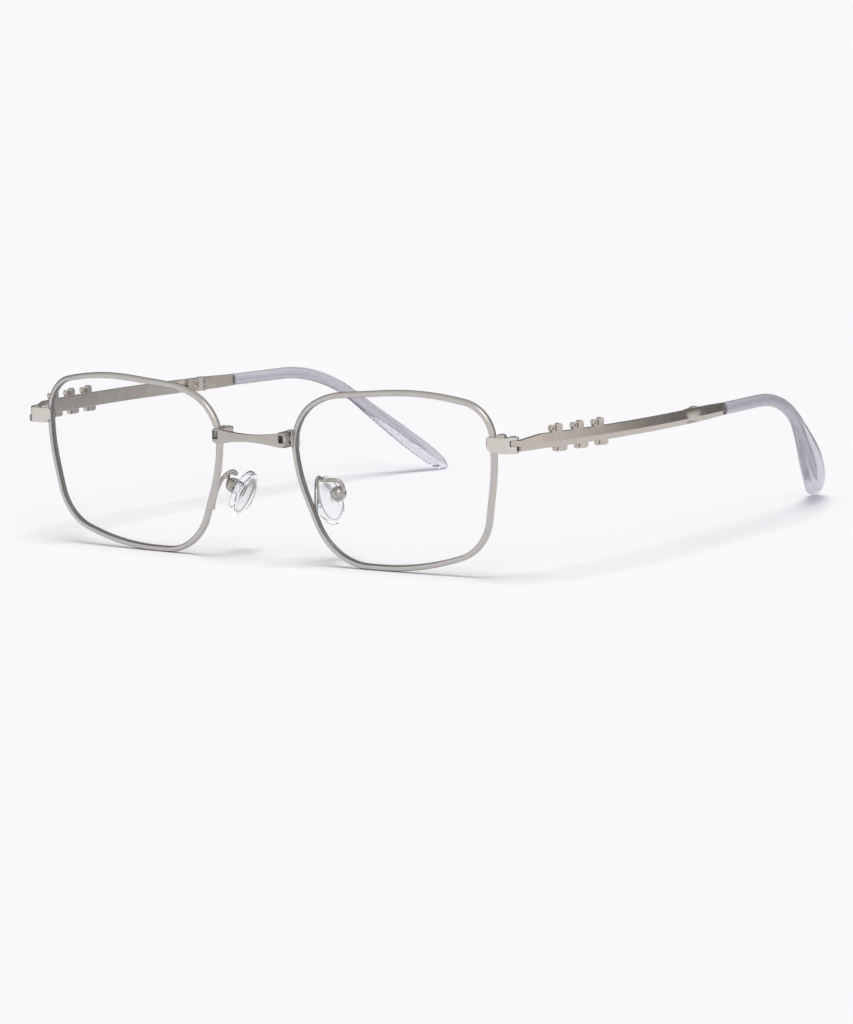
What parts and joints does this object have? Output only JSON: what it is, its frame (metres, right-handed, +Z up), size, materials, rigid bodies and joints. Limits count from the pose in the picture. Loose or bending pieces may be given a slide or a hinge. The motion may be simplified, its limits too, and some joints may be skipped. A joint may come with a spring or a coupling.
{
  "type": "folding eyeglasses",
  "caption": "Metal-rimmed folding eyeglasses with a hinged bridge, temples that fold at half length, clear tips and clear nose pads.",
  "frame": {"origin": "middle of the bounding box in X and Y, on the table that the rims and tips stand on", "axes": "+X across the face towards the wearer's left, +Y back along the open temples, +Z up"},
  "size_m": [0.1376, 0.1409, 0.0375],
  "materials": {
    "metal": "satin nickel plate",
    "screw": "satin",
    "core": "satin, seen through the clear tip",
    "lens": "clear, polished",
    "tip": "clear cellulose acetate with a faint lavender-grey tint, polished",
    "pad": "clear, polished"
  },
  "bodies": {
    "bridge": {"bridge_bar": "metal"},
    "front_left": {"rim_left": "metal", "lens_left": "lens", "bridge_lug_left": "metal", "bridge_screw_left": "screw", "end_piece_left": "metal", "rim_lock_left": "metal", "rim_lock_screw_left": "screw", "temple_screw_left": "screw", "pad_arm_left": "metal", "pad_box_left": "metal", "pad_screw_left": "screw"},
    "pad_left": {"nose_pad_left": "pad"},
    "temple_left": {"temple_neck_left": "metal", "temple_bar_left": "metal", "fold_block_left": "metal", "fold_screw_left": "screw"},
    "rear_left": {"fold_leaf_left": "metal", "temple_link_left": "metal", "core_wire_left": "core", "temple_tip_left": "tip"},
    "front_right": {"rim_right": "metal", "lens_right": "lens", "bridge_lug_right": "metal", "bridge_screw_right": "screw", "end_piece_right": "metal", "rim_lock_right": "metal", "rim_lock_screw_right": "screw", "temple_screw_right": "screw", "pad_arm_right": "metal", "pad_box_right": "metal", "pad_screw_right": "screw"},
    "pad_right": {"nose_pad_right": "pad"},
    "temple_right": {"temple_neck_right": "metal", "temple_bar_right": "metal", "fold_block_right": "metal", "fold_screw_right": "screw"},
    "rear_right": {"fold_leaf_right": "metal", "temple_link_right": "metal", "core_wire_right": "core", "temple_tip_right": "tip"}
  },
  "joints": [
    {"name": "bridge_left", "type": "hinge", "parent": "bridge", "child": "front_left", "pos_m": [0.00816, -0.06639, 0.02595], "axis": [0, 0, 1], "range_deg": [0, 42]},
    {"name": "pad_left", "type": "hinge", "parent": "front_left", "child": "pad_left", "pos_m": [0.01374, -0.05803, 0.01388], "axis": [0.1201, 0.9803, -0.1568], "range_deg": [-8, 8]},
    {"name": "temple_left", "type": "hinge", "parent": "front_left", "child": "temple_left", "pos_m": [0.06214, -0.06409, 0.0273], "axis": [0, 0, -1], "range_deg": [-85, 0]},
    {"name": "fold_left", "type": "hinge", "parent": "temple_left", "child": "rear_left", "pos_m": [0.06584, -0.00352, 0.02704], "axis": [0.0021, 0.012, 0.9999], "range_deg": [0, 131]},
    {"name": "bridge_right", "type": "hinge", "parent": "bridge", "child": "front_right", "pos_m": [-0.00816, -0.06639, 0.02595], "axis": [0, 0, -1], "range_deg": [0, 42]},
    {"name": "pad_right", "type": "hinge", "parent": "front_right", "child": "pad_right", "pos_m": [-0.01374, -0.05803, 0.01388], "axis": [0.1201, -0.9803, 0.1568], "range_deg": [-8, 8]},
    {"name": "temple_right", "type": "hinge", "parent": "front_right", "child": "temple_right", "pos_m": [-0.06214, -0.06409, 0.0273], "axis": [0, 0, 1], "range_deg": [-76, 0]},
    {"name": "fold_right", "type": "hinge", "parent": "temple_right", "child": "rear_right", "pos_m": [-0.06584, -0.00352, 0.02704], "axis": [0.0021, -0.012, -0.9999], "range_deg": [0, 131]}
  ]
}
